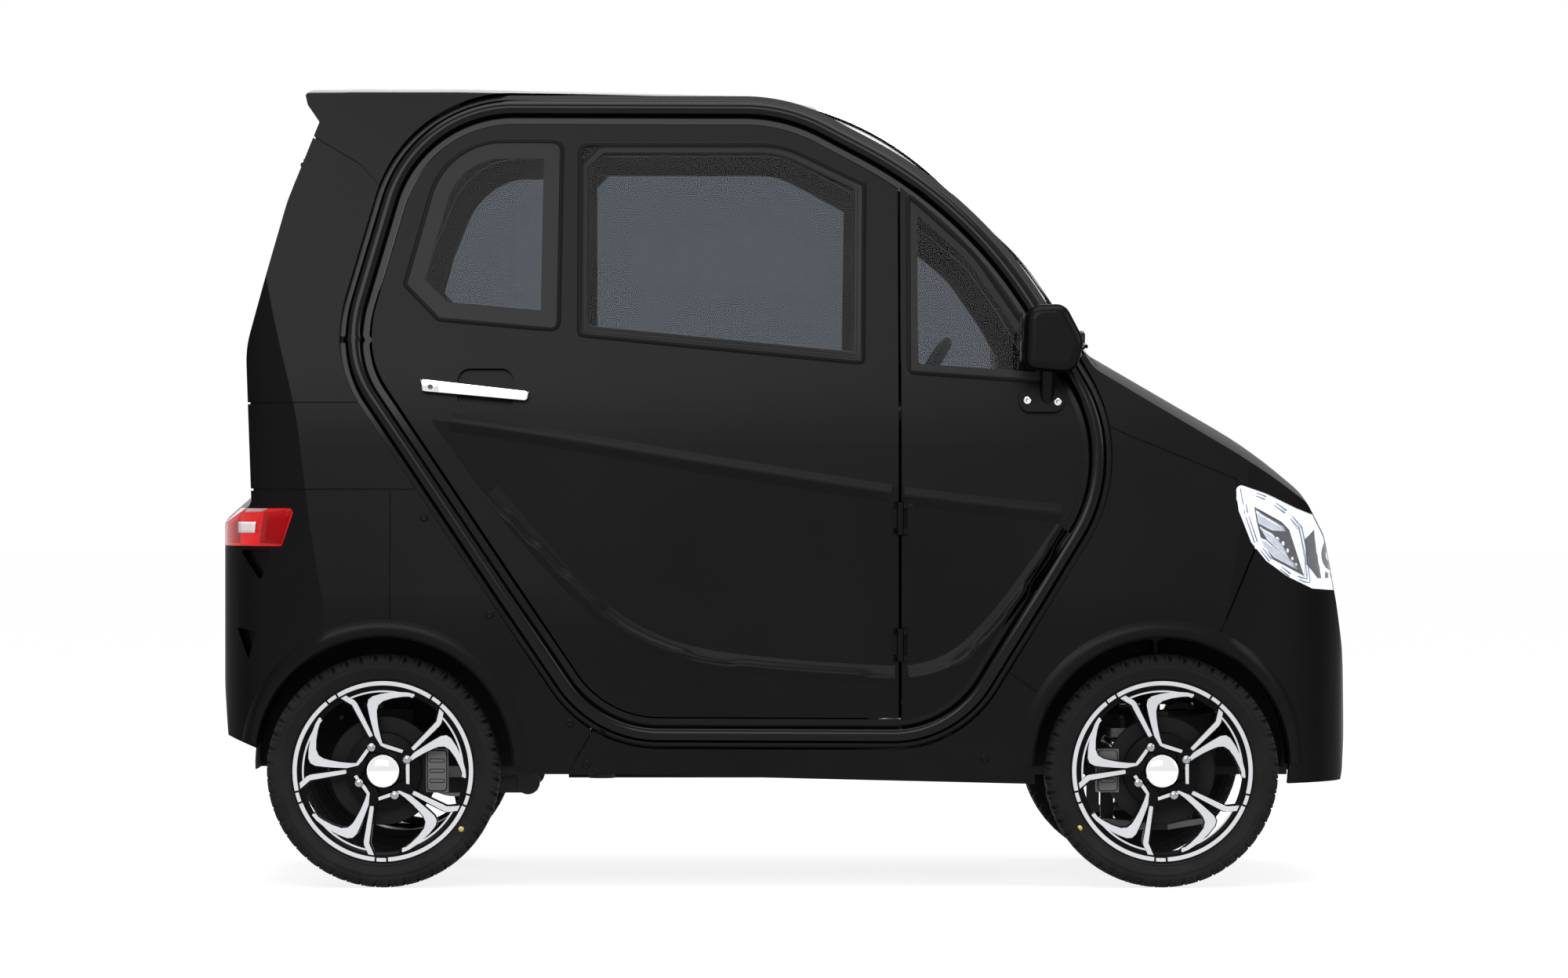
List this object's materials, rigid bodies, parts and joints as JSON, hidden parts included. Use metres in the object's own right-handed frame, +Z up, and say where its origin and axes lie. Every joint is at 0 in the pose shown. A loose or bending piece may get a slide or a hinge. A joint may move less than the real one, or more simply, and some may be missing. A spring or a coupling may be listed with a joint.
{
  "type": "enclosed electric microcar",
  "caption": "Small closed city car with a rounded tube frame round each door opening, front-hinged doors, a lifting rear glass and steered front wheels.",
  "frame": {"origin": "on the ground under the middle of the body", "axes": "+X forward, +Y to the left, +Z up"},
  "size_m": [2.2739, 1.44, 1.606],
  "materials": {
    "body_paint": "satin black lacquer",
    "gloss_black": "gloss black",
    "tinted_glass": "smoked, clear gloss",
    "chrome": "polished",
    "chassis_steel": "black chassis paint",
    "cast_steel": "raw casting",
    "motor_alloy": "cast",
    "bright_steel": "ground",
    "battery_case": "moulded",
    "floor_paint": "satin",
    "cabin_plastic": "grained",
    "wheel_grip": "grained",
    "seat_cover": "sewn cover",
    "lamp_clear": "clear lens",
    "lamp_red": "clear red lens",
    "liner_plastic": "grained",
    "trim_black": "satin",
    "tyre": "matt",
    "alloy": "machined faces over gloss black"
  },
  "bodies": {
    "body": {"battery": "battery_case", "bonnet": "body_paint", "chassis_frame": "chassis_steel", "dashboard": "cabin_plastic", "door_rings": "gloss_black", "drive_motor": "motor_alloy", "floor_tub": "floor_paint", "front_bumper": "body_paint", "front_fenders": "body_paint", "front_quarter_glass": "tinted_glass", "front_seat": "seat_cover", "front_side_panels": "body_paint", "front_suspension": "chassis_steel", "headlamps": "lamp_clear", "mirrors": "body_paint", "rack_housing": "motor_alloy", "rear_axle": "cast_steel", "rear_body": "body_paint", "rear_bumper": "body_paint", "rear_seat": "seat_cover", "rear_side_panels": "body_paint", "rear_suspension": "chassis_steel", "roof_panel": "body_paint", "sills": "body_paint", "steering_column": "cabin_plastic", "tail_lamps": "lamp_red", "wheel_liners": "liner_plastic", "windscreen": "tinted_glass", "wiper": "trim_black"},
    "knuckle_left": {"knuckle_left": "cast_steel"},
    "knuckle_right": {"knuckle_right": "cast_steel"},
    "steering_rack": {"steering_rack": "bright_steel"},
    "steering_wheel": {"steering_wheel": "wheel_grip"},
    "door_left": {"door_left": "body_paint", "door_glass_left": "tinted_glass", "door_handle_left": "chrome"},
    "door_right": {"door_right": "body_paint", "door_glass_right": "tinted_glass", "door_handle_right": "chrome"},
    "rear_hatch": {"rear_hatch": "tinted_glass"},
    "wheel_front_left": {"wheel_front_left": "alloy", "tyre_front_left": "tyre"},
    "wheel_front_right": {"wheel_front_right": "alloy", "tyre_front_right": "tyre"},
    "wheel_rear_left": {"wheel_rear_left": "alloy", "tyre_rear_left": "tyre"},
    "wheel_rear_right": {"wheel_rear_right": "alloy", "tyre_rear_right": "tyre"}
  },
  "joints": [
    {"name": "steer_left", "type": "hinge", "parent": "body", "child": "knuckle_left", "pos_m": [0.741, 0.466, 0.2315], "axis": [0, 0, 1], "range_deg": [-28, 28]},
    {"name": "steer_right", "type": "hinge", "parent": "body", "child": "knuckle_right", "pos_m": [0.741, -0.466, 0.2315], "axis": [0, 0, 1], "range_deg": [-28, 28]},
    {"name": "rack_slide", "type": "slide", "parent": "body", "child": "steering_rack", "axis": [0, 1, 0], "range_m": [-0.046, 0.046]},
    {"name": "steering_wheel_turn", "type": "hinge", "parent": "body", "child": "steering_wheel", "pos_m": [0.25, 0.2, 0.95], "axis": [-0.848, 0, 0.5299], "range_deg": [-340, 340]},
    {"name": "wheel_front_left_spin", "type": "hinge", "parent": "knuckle_left", "child": "wheel_front_left", "pos_m": [0.741, 0.49, 0.2315], "axis": [0, 1, 0], "continuous": true},
    {"name": "wheel_rear_left_spin", "type": "hinge", "parent": "body", "child": "wheel_rear_left", "pos_m": [-0.801, 0.49, 0.2315], "axis": [0, 1, 0], "continuous": true},
    {"name": "wheel_front_right_spin", "type": "hinge", "parent": "knuckle_right", "child": "wheel_front_right", "pos_m": [0.741, -0.49, 0.2315], "axis": [0, 1, 0], "continuous": true},
    {"name": "wheel_rear_right_spin", "type": "hinge", "parent": "body", "child": "wheel_rear_right", "pos_m": [-0.801, -0.49, 0.2315], "axis": [0, 1, 0], "continuous": true},
    {"name": "door_left_hinge", "type": "hinge", "parent": "body", "child": "door_left", "pos_m": [0.222, 0.563, 0.6], "axis": [0, 0, -1], "range_deg": [0, 65]},
    {"name": "door_right_hinge", "type": "hinge", "parent": "body", "child": "door_right", "pos_m": [0.222, -0.563, 0.6], "axis": [0, 0, 1], "range_deg": [0, 65]},
    {"name": "rear_hatch_hinge", "type": "hinge", "parent": "body", "child": "rear_hatch", "pos_m": [-0.978, 0, 1.447], "axis": [0, 1, 0], "range_deg": [0, 75]}
  ],
  "couplings": [
    {"joint": "steer_right", "follows": "steer_left", "ratio": 1},
    {"joint": "rack_slide", "follows": "steer_left", "m_per_rad": -0.092},
    {"joint": "steering_wheel_turn", "follows": "steer_left", "ratio": 12}
  ]
}
